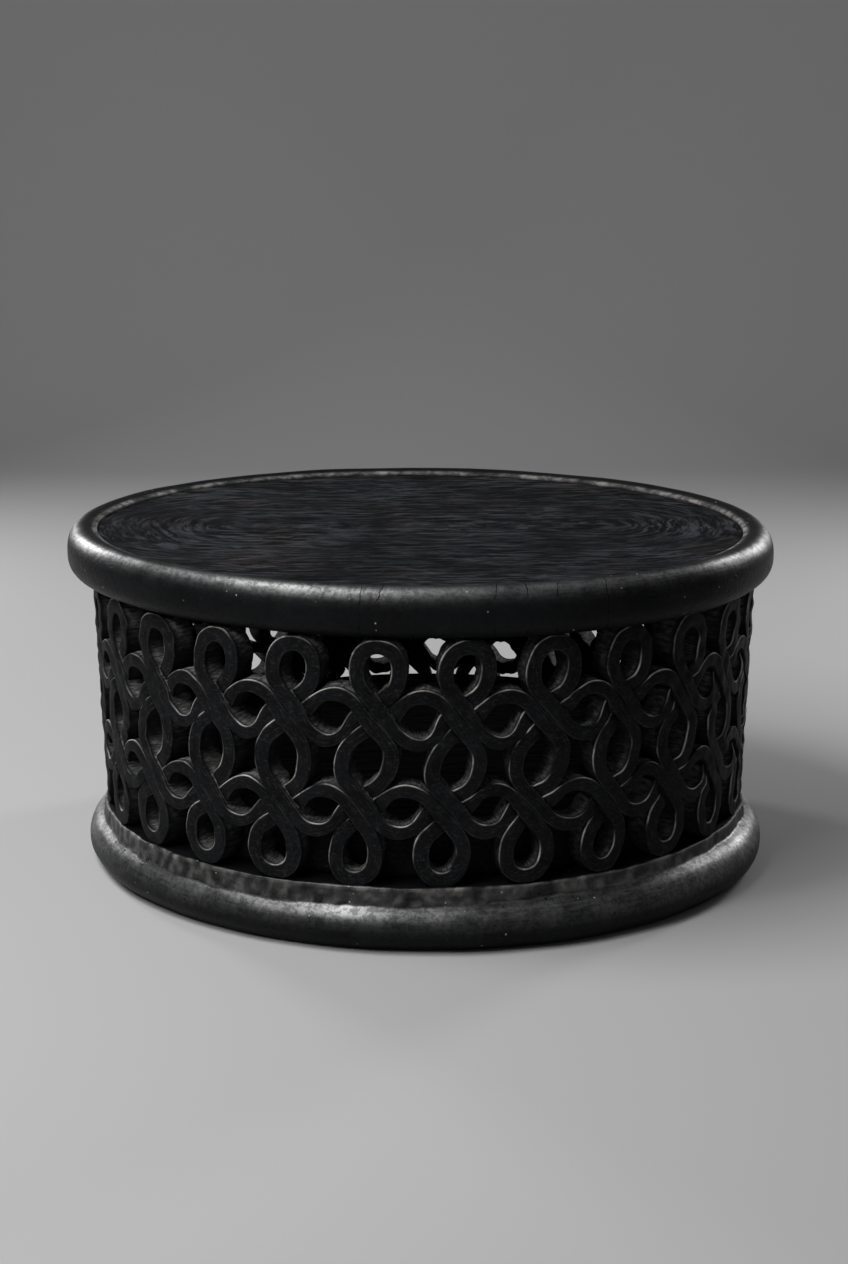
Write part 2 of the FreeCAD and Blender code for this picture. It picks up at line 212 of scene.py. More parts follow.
def piece(name, points, finish, slot, nodes, groups=None, **layers):
    """An object with its faces outward, that stands for nodes of the frame. Its faces are groups with three
    or four corners each, or the cells of its grid of points. Each layer is a number for every point."""
    groups = groups or [quads(*points.shape[:2])]
    points = points.reshape(-1, 3)
    inside_out = sum(volume(points, group) for group in groups) < 0
    faces = [face for group in groups for face in (group[:, ::-1] if inside_out else group).tolist()]
    made = smooth_object(name, points, faces, finish)
    for key, values in layers.items():
        layer = made.data.attributes.new(key, "FLOAT", "POINT")
        kept = np.zeros(len(points), np.float32)
        kept[:values.size] = values.ravel()
        layer.data.foreach_set("value", kept)
    made.data.update()
    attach(made, BODY)
    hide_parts(*nodes)


def closed_at_axis(points):
    """Points and faces of a grid of (turns, points of a section) whose section starts and ends beside the
    axis: each end closes with a fan to its mean."""
    turns, count = points.shape[:2]
    here = np.arange(turns) * count
    after = np.roll(here, -1)
    first, last = np.full(turns, turns * count), np.full(turns, turns * count + 1)
    end = count - 1
    fans = np.concatenate([np.stack([after, here, first], -1), np.stack([here + end, after + end, last], -1)])
    whole = np.concatenate([points.reshape(-1, 3), points[:, 0].mean(0)[None], points[:, -1].mean(0)[None]])
    return whole, [quads(turns, count, False), fans]


def ripple(points, length, seed, waves=14):
    """Sum of sine waves of about one length in random directions, scaled to a mean square of one."""
    rng = np.random.default_rng(seed)
    directions = rng.normal(size=(waves, 3))
    directions /= np.linalg.norm(directions, axis=1)[:, None]
    numbers = 2 * np.pi / (length * rng.uniform(0.7, 1.4, waves))
    phase = rng.uniform(0, 2 * np.pi, waves)
    return np.sin(points @ (directions * numbers[:, None]).T + phase).sum(-1) * math.sqrt(2 / waves)


def planed(along, across, girth, facet_along, facet_across, seed):
    """Height over flat cuts of a plane: the squared distance to the nearest cut's centre, measured in cuts,
    so that each cut is a shallow hollow and its neighbours meet in low ridges. The girth closes on itself."""
    rng = np.random.default_rng(seed)
    rows = max(1, round(np.ptp(across) / facet_across))
    count = max(3, round(girth / facet_along))
    grid_along, grid_across = np.meshgrid(np.arange(count), np.arange(-1, rows + 2), indexing="ij")
    centre_along = (grid_along + rng.uniform(-0.35, 0.35, grid_along.shape) + 0.5 * (grid_across % 2)).ravel()
    centre_across = (grid_across + rng.uniform(-0.3, 0.3, grid_across.shape)).ravel()
    u = (along / girth * count)[..., None] - centre_along
    u -= count * np.round(u / count)
    w = ((across - across.min()) / facet_across)[..., None] - centre_across
    return np.minimum((u * u + w * w).min(-1), 1.0)


def arc(centre, height, radius, start, stop, count):
    """Points (centre + radius cos a, height + radius sin a) for turns a from start to stop in degrees."""
    turns = np.radians(np.linspace(start, stop, count))
    return np.stack([centre + radius * np.cos(turns), height + radius * np.sin(turns)], -1)


def around(count):
    """Evenly spaced turns once round."""
    return np.linspace(0, 2 * np.pi, count, endpoint=False)


def oval_sizes(long_way, short_way):
    """An oval's mean radius, and how far its long and short radii lie from it."""
    return (long_way + short_way) / 4, (long_way - short_way) / 4


def eased(share):
    """0 below 0, 1 above 1, and s s (3 - 2 s) between."""
    share = np.clip(share, 0, 1)
    return share * share * (3 - 2 * share)


def line(first, last, count):
    """Evenly spaced points between two, without the ends."""
    share = np.linspace(0, 1, count + 2)[1:-1, None]
    return np.array(first) * (1 - share) + np.array(last) * share


def straights(start, *runs):
    """Lines from corner to corner. Each run says how many points lie before its corner, and the corner."""
    parts = []
    for count, *end in runs:
        parts += [line(start, end, count), [end]]
        start = end
    return np.concatenate(parts)


def drawn_oval(section, stretch, turns, plan_turn=0.0, centre=(0.0, 0.0)):
    """Rings of points round an oval: at turn t a point of the section stands at ((radius + stretch) cos t,
    (radius - stretch) sin t), turned with the plan and moved to its centre. An equal stretch keeps the
    outlines of a piece the same distance apart all round."""
    x = (section[..., 0] + stretch) * np.cos(turns)[:, None]
    y = (section[..., 0] - stretch) * np.sin(turns)[:, None]
    c, s = math.cos(plan_turn), math.sin(plan_turn)
    height = np.broadcast_to(section[..., 1], x.shape)
    return np.stack([centre[0] + x * c - y * s, centre[1] + x * s + y * c, height], -1)


def section_normals(section):
    """Outward direction (across, up) at each point of closed sections that run counter-clockwise."""
    tangent = np.roll(section, -1, -2) - np.roll(section, 1, -2)
    tangent /= np.linalg.norm(tangent, axis=-1, keepdims=True)
    return np.stack([tangent[..., 1], -tangent[..., 0]], -1)


def shifted(section, surface_shift):
    """The section at every turn, moved along its outward direction: shape (turns, points, 2)."""
    return section + section_normals(section) * surface_shift[..., None]


def girth_of(section):
    """Length along a section up to each of its points."""
    steps = np.diff(section, axis=-2, prepend=section[..., :1, :])
    return np.cumsum(np.linalg.norm(steps, axis=-1), axis=-1)


def rolled(section, middle, reach):
    """How far each point of a section belongs to its roll's upper quarter: 1 where it faces up and out at the
    middle angle, falling off over the reach, both in degrees."""
    facing = section_normals(section)
    angle = np.degrees(np.arctan2(facing[..., 1], facing[..., 0]))
    return np.exp(-((angle - middle) / reach) ** 2)


# Finishes

def arithmetic(operation, reflected=False):
    """A method that adds one Math node."""
    def method(self, other):
        terms = (other, self) if reflected else (self, other)
        return self.finish.add("ShaderNodeMath", {"operation": operation}, dict(enumerate(terms)))
    return method


class Wire:
    """A socket of a finish, on which arithmetic adds Math nodes."""
    __add__ = __radd__ = arithmetic("ADD")
    __sub__ = arithmetic("SUBTRACT")
    __rsub__ = arithmetic("SUBTRACT", True)
    __mul__ = __rmul__ = arithmetic("MULTIPLY")
    __pow__ = arithmetic("POWER")

    def __init__(self, finish, socket):
        self.finish = finish
        self.socket = socket

    def between(self, low, high):
        """0 below low, 1 above high and smooth between."""
        return self.finish.add("ShaderNodeMapRange", {"interpolation_type": "SMOOTHSTEP"},
                               {"Value": self, "From Min": low, "From Max": high})


class Finish:
    """A material and its one shader."""

    def __init__(self, name, shader):
        self.material = bpy.data.materials.new(name)
        self.material.use_nodes = True
        self.tree = self.material.node_tree
        self.shader = self.tree.nodes["Principled BSDF"]
        for key, value in shader.items():
            self.shader.inputs[key].default_value = value
        self.place = self.add("ShaderNodeTexCoord", {}, {}, "Object")

    def add(self, kind, settings, sockets, output=0):
        """Adds a node: its settings first, then the values or links of its sockets."""
        node = self.tree.nodes.new(kind)
        for key, value in settings.items():
            setattr(node, key, value)
        for key, value in sockets.items():
            if isinstance(value, Wire):
                self.tree.links.new(value.socket, node.inputs[key])
            else:
                node.inputs[key].default_value = value
        return Wire(self, node.outputs[output])

    def stretched(self, *scale):
        """The object's own coordinates, multiplied along each axis."""
        return self.add("ShaderNodeMapping", {}, {"Vector": self.place, "Scale": scale})

    def noise(self, scale, detail=3.0, roughness=0.5, distortion=0.0, place=None):
        """Even noise from 0 to 1, at the object's own coordinates unless a place is given."""
        sockets = {"Vector": place or self.place, "Scale": scale, "Detail": detail, "Roughness": roughness,
                   "Distortion": distortion}
        return self.add("ShaderNodeTexNoise", {}, sockets, "Fac")

    def cells(self, scale):
        """Distance from the nearest of scattered points, 0 at the point and about 1 between."""
        return self.add("ShaderNodeTexVoronoi", {}, {"Vector": self.place, "Scale": scale}, "Distance")

    def kept(self, name):
        """A number that the mesh keeps for each point."""
        return self.add("ShaderNodeAttribute", {"attribute_name": name}, {}, "Fac")

    def plan_place(self):
        """The object's own x and y."""
        node = self.add("ShaderNodeSeparateXYZ", {}, {"Vector": self.place}).socket.node
        return Wire(self, node.outputs["X"]), Wire(self, node.outputs["Y"])

    def joined(self, x, y, z):
        """A place from its coordinates."""
        return self.add("ShaderNodeCombineXYZ", {}, {"X": x, "Y": y, "Z": z})

    def cracks(self, lines):
        """1 along short wavering lines seen from above, and 0 away from them."""
        if not lines:
            return None
        x, y = self.plan_place()
        stray, wide = 0.008, 4e-7  # Metres that a line wavers, and its half width squared
        waver = self.noise(90.0, 2.0)
        found = None
        for middle, direction, length in lines:
            dx, dy = x - middle[0], y - middle[1]
            along = dx * direction[0] + dy * direction[1]
            beside = dy * direction[0] - dx * direction[1] + (waver - 0.5) * stray
            near = 1 - (beside * beside).between(0.0, wide)
            near = near * (1 - (along * along).between(0.16 * length ** 2, 0.25 * length ** 2))
            found = near if found is None else found + near
        return found

    def mix(self, share, first, second):
        """Two colours mixed."""
        return self.add("ShaderNodeMix", {"data_type": "RGBA"}, {0: share, 6: first, 7: second}, 2)

    def drives(self, socket, value):
        """Links a socket of the shader to a value."""
        self.tree.links.new(value.socket, self.shader.inputs[socket])

    def bump(self, height, distance, strength):
        """Raises the surface's shading by a height from 0 to 1 over a distance."""
        sockets = {"Height": height, "Distance": distance, "Strength": strength}
        self.drives("Normal", self.add("ShaderNodeBump", {}, sockets, "Normal"))


def colour(value, times=1.0):
    """A socket's colour: red, green and blue, times a number, and solid."""
    return (*(times * part for part in value), 1.0)


def waxed_wood(name, shades, cracks=()):
    """Blackened wood rubbed with wax: rolls polished and laid with a painted highlight of grey, partly real
    rubbing, in streaks along the grain where they face up and out; dull below, with fine crackle, scratches,
    pits, pale specks and drying cracks."""
    finish = Finish(name, {"Specular IOR Level": 0.06, "Coat Roughness": 0.40, "Coat IOR": 2.3})
    base, worn = shades.wax_black, shades.wear_and_highlight_grey
    cloud = finish.noise(8.0, 4.0, 0.6)
    patch = finish.noise(21.0, 4.0, 0.65)
    fine = finish.noise(190.0, 3.0, 0.6)
    scratch = finish.noise(1.0, 5.0, 0.72, place=finish.stretched(26.0, 26.0, 360.0))
    mottle = finish.noise(150.0, 4.0, 0.7, 0.6)
    pit = (1 - finish.cells(52.0).between(0.05, 0.13)) * finish.noise(14.0, 2.0).between(0.42, 0.54)
    speck = (1 - finish.cells(71.0).between(0.03, 0.10)) * finish.noise(23.0, 1.0).between(0.46, 0.58)
    # Painted highlight, partly real rubbing: a share that is 1 where the roll faces up and out toward the
    # lamps; it lays grey and coat there
    rub = finish.kept("rub")
    rub_and_highlight_streak = rub * (0.55 * patch.between(0.35, 0.65) + 0.6 * scratch.between(0.42, 0.62))
    # Pale marks from the cut layer: on the rim a painted highlight along the dish's lip, partly a worn edge;
    # on the base a paler band on the ledge's step, painted light that is partly chisel-cut wood
    cut = finish.kept("cut") * (0.35 + 0.65 * finish.noise(90.0).between(0.4, 0.62))
    shade = finish.mix(cloud.between(0.35, 0.75), colour(base), colour(base, 1.9))
    # Painted highlight: grey mixed in on the rolls where they face the lamps
    shade = finish.mix(rub_and_highlight_streak, shade, colour(shades.rubbed_grey))
    shade = finish.mix(cut, shade, colour(worn, 0.6))
    shade = finish.mix(speck * 0.8, shade, colour(worn))
    split = finish.cracks(cracks)
    if split is not None:
        shade = finish.mix(split, shade, colour(base, 0.2))
        pit = pit + split
    polish = (0.03 + 0.97 * rub) * (0.55 + 0.45 * patch.between(0.34, 0.62))
    polish = polish * (0.45 + 0.55 * mottle.between(0.42, 0.56))
    finish.drives("Base Color", shade)
    finish.drives("Coat Weight", polish * (1 - pit.between(0.0, 0.8)) * (1 - cut))
    finish.drives("Roughness", 0.20 + 0.16 * cloud + 0.10 * fine + 0.16 * scratch + 0.25 * pit + 0.2 * cut)
    finish.bump(0.65 * fine + 0.60 * scratch - 0.9 * pit + 0.5 * cloud + 0.5 * mottle, 0.001, 0.8)
    return finish.material


def dish_wood(name, shades):
    """The dish's floor: grain drawn left to right in long strokes that turn round near both ends. The strokes
    follow lines of equal distance from a spine on the long axis: straight beside it, and round past its
    ends."""
    finish = Finish(name, {"Specular IOR Level": 0.03})
    light, warmer = shades.dish_light, [a * b for a, b in zip(shades.dish_light, (1.12, 0.95, 0.88))]
    slow = finish.noise(1.0, place=finish.stretched(3.0, 7.0, 3.0))
    x, y = finish.plan_place()
    past = (x * x) ** 0.5 - 0.22
    past = past * past.between(-0.03, 0.09)
    bow = (past * past + y * y + 0.0016) ** 0.5 + slow * 0.05
    stroke = finish.noise(1.0, 5.0, 0.7, 0.2, finish.joined(bow * 90.0, x * 8.0, y * 8.0))
    fleck = finish.noise(1.0, 4.0, 0.70, 0.3, finish.joined(bow * 150.0, x * 26.0, y * 26.0))
    cloud = finish.noise(7.0, 4.0, 0.62)
    warm = finish.noise(9.0, 3.0, 0.6)
    speck = 1 - finish.cells(70.0).between(0.02, 0.07)
    grain = stroke.between(0.46, 0.64) * 0.40 + fleck.between(0.47, 0.62) * 0.75
    pale = finish.mix(warm.between(0.50, 0.66), colour(light), colour(warmer))
    shade = finish.mix(grain * (0.30 + 1.2 * cloud.between(0.28, 0.75)), colour(shades.dish_dark), pale)
    shade = finish.mix(speck * 0.5, shade, colour(light, 3.0))
    finish.drives("Base Color", shade)
    finish.drives("Roughness", 0.46 + 0.20 * stroke + 0.10 * cloud)
    finish.bump(0.7 * stroke + 0.6 * fleck, 0.0008, 0.7)
    return finish.material


def carved_wood(name, shades):
    """The wall: matt blackened faces with fine scratches, side walls left grey and nicked by the chisel and
    palest where they face up as painted light, and edges painted pale as a highlight where they face up,
    partly real worn edges."""
    finish = Finish(name, {"Specular IOR Level": 0.06})
    face = shades.wall_black
    edge_wear_and_highlight, cheek, run = finish.kept("edge_wear_and_highlight"), finish.kept("cheek"), finish.kept("run")
    cloud = finish.noise(18.0, 4.0, 0.6)
    fibre = finish.noise(1.0, 5.0, 0.75, place=finish.joined(run * 70.0, finish.kept("aside") * 420.0, 0.0))
    cross = finish.noise(1.0, 4.0, 0.72, place=finish.stretched(150.0, 150.0, 340.0))
    fine = finish.noise(420.0, 2.0, 0.6)
    nicks = finish.noise(1.0, 4.0, 0.7, place=finish.joined(run * 330.0, finish.kept("deep") * 60.0, 0.0))
    # Painted highlight, partly real worn edges: pale grey on the edges that face up and to the left
    rubbed = edge_wear_and_highlight * (0.35 + 0.65 * finish.noise(60.0, 3.0, 0.6).between(0.36, 0.60))
    scratch = fibre.between(0.50, 0.70) * 0.6 + cross.between(0.52, 0.70) * 0.6
    shade = finish.mix(cloud.between(0.3, 0.75), colour(face), colour(face, 2.4))
    shade = finish.mix(scratch, shade, colour(face, 9.0))
    # Painted light, partly chisel-cut wood: side walls in grey, palest where they face up
    shade = finish.mix(cheek * (0.20 + 0.80 * nicks.between(0.40, 0.62)), shade, colour(shades.chisel_and_lit_grey))
    shade = finish.mix(rubbed, shade, colour(shades.wear_and_highlight_grey))
    finish.drives("Base Color", shade)
    finish.drives("Roughness", 0.50 + 0.16 * cloud + 0.16 * cheek - 0.10 * rubbed)
    finish.bump(0.5 * fibre + 0.4 * cross + 0.3 * fine + 0.3 * cloud + 0.9 * cheek * nicks, 0.0009, 0.7)
    return finish.material


def plain_matte(name, shade):
    """The floor and backdrop."""
    return Finish(name, {"Roughness": 0.9, "Specular IOR Level": 0.2, "Base Color": colour(shade)}).material


# The pattern of the wall, drawn flat: x along the unrolled wall from a column, z above the wall's middle

class Lattice:
    """Circles that the strands' centre lines turn round, and the crossings between them."""

    def __init__(self, wall, carving, foot, crown):
        self.wall, self.carving = wall, carving
        self.foot, self.crown = foot, crown
        self.middle = (foot + crown) / 2
        self.draw_radius = (wall.top_radius + wall.foot_radius) / 2
        self.pitch = 2 * self.draw_radius * math.tan(math.pi / wall.columns)
        self.half = wall.strand_width / 2
        self.side = wall.loop_radius - self.half
        self.lean = math.tan(wall.lean)
        self.row = wall.row_spacing / 2
        self.near = wall.crossing_to_loop
        self.far = crown + wall.bedding - wall.loop_radius - self.middle - self.row
        self.pair = wall.strand_width + wall.strand_gap / 2
        offset = self.pair - self.half
        reach = math.hypot(self.near, self.lean * self.near)
        over = math.atan(self.lean) + math.acos((offset + self.side) / reach)
        under = -math.atan(self.lean) + math.acos((offset + self.side) / reach)
        eye = wall.eye_height / 2 + self.half
        so, co, su, cu = math.sin(over), math.cos(over), math.sin(under), math.cos(under)
        over_need = eye + offset - so * self.pitch / 2
        under_need = eye + offset - su * self.pitch / 2
        whole = so * (cu - 1) + su * (co - 1)
        self.eye_shift = (over_need * (cu - 1) - under_need * (co - 1)) / whole
        self.eye_drop = (so * under_need + su * over_need) / whole
        self.eye_round = self.eye_drop + eye
        self.skew = math.sin(over + under)

    def circle(self, column, level, across, upward, radius):
        """(x, z, radius) of a circle placed from a crossing."""
        x = column * self.pitch + level * self.lean * self.row + across
        return x, level * self.row + upward, radius

    def loop_end(self, column, level, upward):
        """A loop's round end, some way up from its crossing."""
        return self.circle(column, level, self.lean * upward, upward, self.side)

    def eye(self, column, level, side):
        """The strand that closes an eye from below (side 1) or from above (side -1)."""
        across = self.pitch / 2 + side * self.eye_shift
        return self.circle(column, level, across, side * self.eye_drop, self.eye_round)

    def centre_line(self, circles, start):
        """Evenly spaced points of a line that turns counter-clockwise round circles in turn, from one place
        on the first to the same place on the last. Each arc (x + r cos a, z + r sin a) runs between the
        turns where the straights touch it."""
        turns = [math.atan2(b[1] - a[1], b[0] - a[0])
                 - math.acos((a[2] - b[2]) / math.hypot(b[0] - a[0], b[1] - a[1]))
                 for a, b in zip(circles, circles[1:])]
        arcs = []
        for (x, z, radius), first, last in zip(circles, [start] + turns, turns + [start]):
            sweep = (last - first) % (2 * math.pi)
            turn = first + np.linspace(0, sweep, max(2, int(sweep / 0.03)))
            arcs.append(np.stack([x + radius * np.cos(turn), z + radius * np.sin(turn)], -1))
        route = np.concatenate(arcs)
        length = np.concatenate([[0], np.cumsum(np.linalg.norm(np.diff(route, axis=0), axis=1))])
        count = round(length[-1] / self.carving.step)
        even = np.linspace(0, length[-1], count, endpoint=False)
        return np.stack([np.interp(even, length, route[:, 0]), np.interp(even, length, route[:, 1])], -1)

    def band(self, side):
        """The endless strand of the upper loops (side 1) or of the lower ones (side -1): one column's stretch
        repeated round the whole wall."""
        first, last = (self.eye(column, side, side) for column in ((-1, 0) if side > 0 else (0, -1)))
        near, far = (self.loop_end(0, side, side * reach) for reach in (self.near, self.far))
        stretch = self.centre_line([first, near, far, near, last], -side * math.pi / 2)
        shifts = np.arange(self.wall.columns) * self.pitch * side
        whole = stretch[None] + np.stack([shifts, np.zeros_like(shifts)], -1)[:, None]
        girth = np.array([self.wall.columns * self.pitch * side, 0.0])
        return self.flowing(whole.reshape(-1, 2), girth)

    def flowing(self, route, girth):
        """A route with its corners rounded, and its direction at each point. The route, less the straight
        that its girth makes, is averaged over a Gaussian reach g, as 2 g - g g, which keeps wide bends."""
        count = len(route)
        straight = np.arange(count)[:, None] / count * girth
        numbers = np.fft.rfftfreq(count, self.carving.step)
        keep = np.exp(-2 * (np.pi * numbers * self.carving.flow) ** 2)
        waves = np.fft.rfft(route - straight, axis=0) * (2 * keep - keep * keep)[:, None]
        route = np.fft.irfft(waves, count, axis=0) + straight
        ahead, behind = np.roll(route, -1, 0), np.roll(route, 1, 0)
        ahead[-1] += girth
        behind[0] -= girth
        return route, ahead - behind

    def ring_line(self):
        """The closed ring between two columns."""
        ring = self.centre_line([self.eye(0, -1, 1), self.loop_end(1, -1, self.near),
                                 self.loop_end(1, 1, -self.near), self.eye(0, 1, -1),
                                 self.loop_end(0, 1, -self.near), self.loop_end(0, -1, self.near),
                                 self.eye(0, -1, 1)], -math.pi / 2)
        return self.flowing(ring, np.zeros(2))

    def depths(self, route, ahead):
        """Depth of a strand's outer and inner faces along its route, and how far it is from a crossing, from
        0 to 1. Next to one the lower strand's outer face slopes down by the relief and then drops to the half
        lap, and the upper strand's inner face rises to it."""
        outer = np.zeros(len(route))
        inner = np.full(len(route), self.wall.thickness)
        lap = self.wall.thickness / 2
        rising = ahead[:, 0] * ahead[:, 1] > 0
        apart = np.full(len(route), 1.0)
        edge = self.pair / self.skew
        hidden_by = 0.0012  # How far under the other strand's edge the half lap starts
        for level in (1, -1):
            centre_x = level * self.lean * self.row
            column = np.round((route[:, 0] - centre_x) / self.pitch)
            crossing = [column * self.pitch + centre_x, np.full(len(route), level * self.row)]
            away = route - np.stack(crossing, -1)
            along = np.abs((away * ahead).sum(1))
            beside = np.abs(away[:, 0] * ahead[:, 1] - away[:, 1] * ahead[:, 0])
            here = beside < self.pair
            slope = eased(1 - (along - edge) / self.wall.relief_run)
            hidden = along < edge - hidden_by
            outer = np.where(here & rising, np.maximum(outer, self.wall.relief * slope), outer)
            outer = np.where(here & rising & hidden, lap, outer)
            inner = np.where(here & ~rising & hidden, lap, inner)
            apart = np.minimum(apart, np.linalg.norm(away, axis=1))
        return outer, inner, eased((apart - edge) / (2 * edge))


def strand_section(half, arris):
    """A strand's section: side place, depth as a share of its thickness and an offset, and how much pale edge
    shows, a painted highlight that is partly real worn edges. The face is crowned and its edges are worn
    round."""
    swell, flat, back = arris * 0.25, half - arris, arris * 1.6
    rows = []
    for share in (-1, -0.90, -0.5, 0, 0.5, 0.90, 1):
        rows.append((share * flat, 0, swell * share * share, 0.30 if abs(share) == 1 else 0.0))
    for turn in (25, 50, 75):
        a = math.radians(turn)
        edge_wear_and_highlight = 1.0 if turn < 70 else 0.6
        rows.append((flat + arris * math.sin(a), 0, swell + arris * (1 - math.cos(a)), edge_wear_and_highlight))
    rows += [(half, 0, swell + arris, 0.2), (half, 0, swell + 1.6 * arris, 0.0), (half, 0.33, 0, 0.0),
             (half, 0.66, 0, 0.0), (half, 1, -back, 0.0), (half - back * 0.3, 1, -back * 0.3, 0.5),
             (half - back, 1, 0, 0.0), (0, 1, 0, 0.0)]
    mirrored = [(-x, share, offset, edge_wear_and_highlight) for x, share, offset, edge_wear_and_highlight in reversed(rows[7:-1])]
    return np.array(rows + mirrored)


def eye_fill(lattice, inner, aside):
    """How far up a strand's points move to leave an eye lens-shaped. At a distance e along from the eye's
    middle, the lens of half length r and half height h ends at h (1 - (e / r) to the power 2.6) above and
    below it. An inner edge near that end moves to it, one far from it stays, and the outer edge stays. The
    whole strand under an eye hangs lower by the sink."""
    carving = lattice.carving
    turning, let_go = 0.006, 0.012     # Heights over which up turns into down, and an edge is let go
    start, depth = 0.004, 0.0275       # The strand that hangs lower lies this far below the eye's middle
    sink_middle, sink_reach = 0.004, 0.040
    lift, sink = np.zeros(len(inner)), np.zeros(len(inner))
    for level, drop in ((1, carving.eye_sink), (-1, 0.3 * carving.eye_sink)):
        e = inner[:, 0] - (level * lattice.lean * lattice.row + lattice.pitch / 2)
        e -= lattice.pitch * np.round(e / lattice.pitch)
        z = inner[:, 1] - level * lattice.row
        beyond = np.abs(z) - carving.eye_swell * (1 - np.abs(e / carving.eye_reach) ** 2.6)
        within = np.clip((1.15 - np.abs(e) / carving.eye_reach) / 0.25, 0, 1)
        lift -= within * np.clip(z / turning, -1, 1) * beyond * np.exp(-(beyond / let_go) ** 2)
        near = np.clip(-z / start, 0, 1) * np.clip((depth + z) / turning, 0, 1)
        sink += drop * near * np.cos(np.pi / 2 * np.clip((e - sink_middle) / sink_reach, -1, 1)) ** 2
    share = np.clip((lattice.half - aside) / (2 * lattice.half), 0, 1)
    return lift[:, None] * share - sink[:, None]


def strand_points(lattice, route, ahead, seed):
    """A strand's section carried along its route round the wall. A point at side place w and depth q stands
    at x + w n in the flat drawing, n square to the route, and then at the wall's radius less q, at the turn x
    over the mean radius. The drawing strays by slow waves, and the walls by the chisel's short ones."""
    wall, carving, mean = lattice.wall, lattice.carving, lattice.draw_radius
    foot, crown, middle = lattice.foot, lattice.crown, lattice.middle
    ahead = ahead / np.linalg.norm(ahead, axis=1)[:, None]
    outer, inner, swell = lattice.depths(route, ahead)
    aside, share, offset, worn = strand_section(lattice.half, carving.arris).T
    across = np.stack([ahead[:, 1], -ahead[:, 0]], -1)
    place = aside - carving.swell * swell[:, None] * (1 - aside / lattice.half) / 2
    flat = route[:, None] + across[:, None] * place[..., None]
    flat[..., 1] += eye_fill(lattice, route - across * lattice.half, aside)
    depth = outer[:, None] * (1 - share) + inner[:, None] * share + offset
    turn = flat[..., 0] * (2 * math.pi / wall.columns / lattice.pitch) + wall.first_column
    height = flat[..., 1] + middle
    spot = np.stack([mean * np.sin(turn), -mean * np.cos(turn), height], -1)
    # The middle loops bow out, and the strands under the upper eyes hang down
    waist = np.sin(2 * np.pi * flat[..., 0] / lattice.pitch) * np.exp(-(flat[..., 1] / 0.03) ** 2)
    turn = turn + carving.belly * waist / mean
    eye = 1 - np.cos(2 * np.pi * (flat[..., 0] - lattice.lean * lattice.row) / lattice.pitch)
    height = height - carving.sag * eye / 2 * np.exp(-((flat[..., 1] - lattice.row + 0.026) / 0.020) ** 2)
    # The whole wall strays, less toward its top and foot
    stray = carving.strand_wander
    turn = turn + stray * ripple(spot, 0.13, 11) / mean
    level = 2 * (height - middle) / (crown - foot)
    height = height + stray * ripple(spot, 0.11, 12) * (1 - np.abs(level) ** 4)
    height = np.clip(height, foot, crown)
    taper = (wall.top_radius - wall.foot_radius) / (crown - foot)
    radius = mean + taper * (height - middle) - depth
    points = np.stack([radius * np.sin(turn), -radius * np.cos(turn), height], -1)
    # The chisel leaves its marks on the side walls and the face
    cut, outward = carving.chisel_depth, np.sign(aside)
    side = outward * (np.abs(aside) > lattice.half * 0.9) * np.clip(share * 3, 0, 1)
    push = cut * (ripple(points, 0.012, seed) + 0.6 * ripple(points, 0.03, seed + 1)) * side
    round_wall, upward = push * across[:, None, 0], push * across[:, None, 1]
    points[..., 0] += round_wall * np.cos(turn)
    points[..., 1] += round_wall * np.sin(turn)
    points[..., 2] = np.clip(points[..., 2] + upward, foot, crown)
    dent = cut * 0.7 * (ripple(points, 0.022, seed + 2) - 1.6) * (share < 0.1)
    points[..., 0] += dent * np.sin(turn)
    points[..., 1] -= dent * np.cos(turn)
    # Painted highlight, partly real worn edges: edges that face up and to the left are palest; painted light:
    # side walls that face up are palest
    facing = outward * (across @ np.array([-0.5, 0.85]))[:, None]
    uneven = np.clip(0.65 + 0.4 * ripple(spot, 0.05, 15), 0, 1) * np.clip(1.5 * facing - 0.2, 0.05, 1)
    points[..., :2] += BASE_MIDDLE
    run = np.broadcast_to(np.arange(len(route))[:, None] * carving.step, points.shape[:2])
    lit = np.clip(0.25 + 1.1 * outward * across[:, None, 1], 0.10, 1)
    return points, {"edge_wear_and_highlight": worn * uneven, "cheek": np.abs(side) * lit, "run": run, "deep": depth,
                    "aside": np.broadcast_to(aside, run.shape)}


def make_strand(name, lattice, path, finish, nodes, seed, turn=0.0):
    """A strand along a path, so many columns round the wall."""
    route, ahead = path
    points, layers = strand_points(lattice, route + np.array([turn * lattice.pitch, 0.0]), ahead, seed)
    piece(name, points, finish, "carved_wall", nodes, **layers)


# Operators

class DRUM_OT_top_panel(bpy.types.Operator):
    """Make the dish's floor"""
    bl_idname = "drum.top_panel"
    bl_label = "Top Panel"

    def execute(self, context):
        plan = context.scene.drum_plan
        mean, stretch = oval_sizes(plan.top_length, plan.top_width)
        edge = mean - plan.rim_width - plan.clearance
        spigot = mean - plan.rim_bore - plan.clearance
        top, bottom = PANEL_HIGH[2], PANEL_LOW[2]
        ledge = RIM_LOW[2] + plan.ledge
        floor = np.stack([np.linspace(0.002, edge, 110), np.full(110, top)], -1)
        section = np.concatenate([
            floor, straights((edge, top), (3, edge, ledge), (3, spigot, ledge), (0, spigot, bottom)),
            line((spigot, bottom), (0.0, bottom), 30)])
        stretches = stretch * np.minimum(section[:, 0] / spigot, 1)
        points = drawn_oval(section, stretches, around(720), plan.plan_turn)
        dish = points[:, :len(floor)]
        hollow = 0.0012 * (1 - (floor[:, 0] / edge) ** 6)
        dish[..., 2] -= hollow + 0.0003 * (1 + np.clip(ripple(dish, 0.05, 5), -1, 1))
        points, groups = closed_at_axis(points)
        finish = dish_wood("dish_grain", context.scene.drum_finish)
        piece("panel", points, finish, "dish_wood", ["top_panel"], groups)
        return {"FINISHED"}


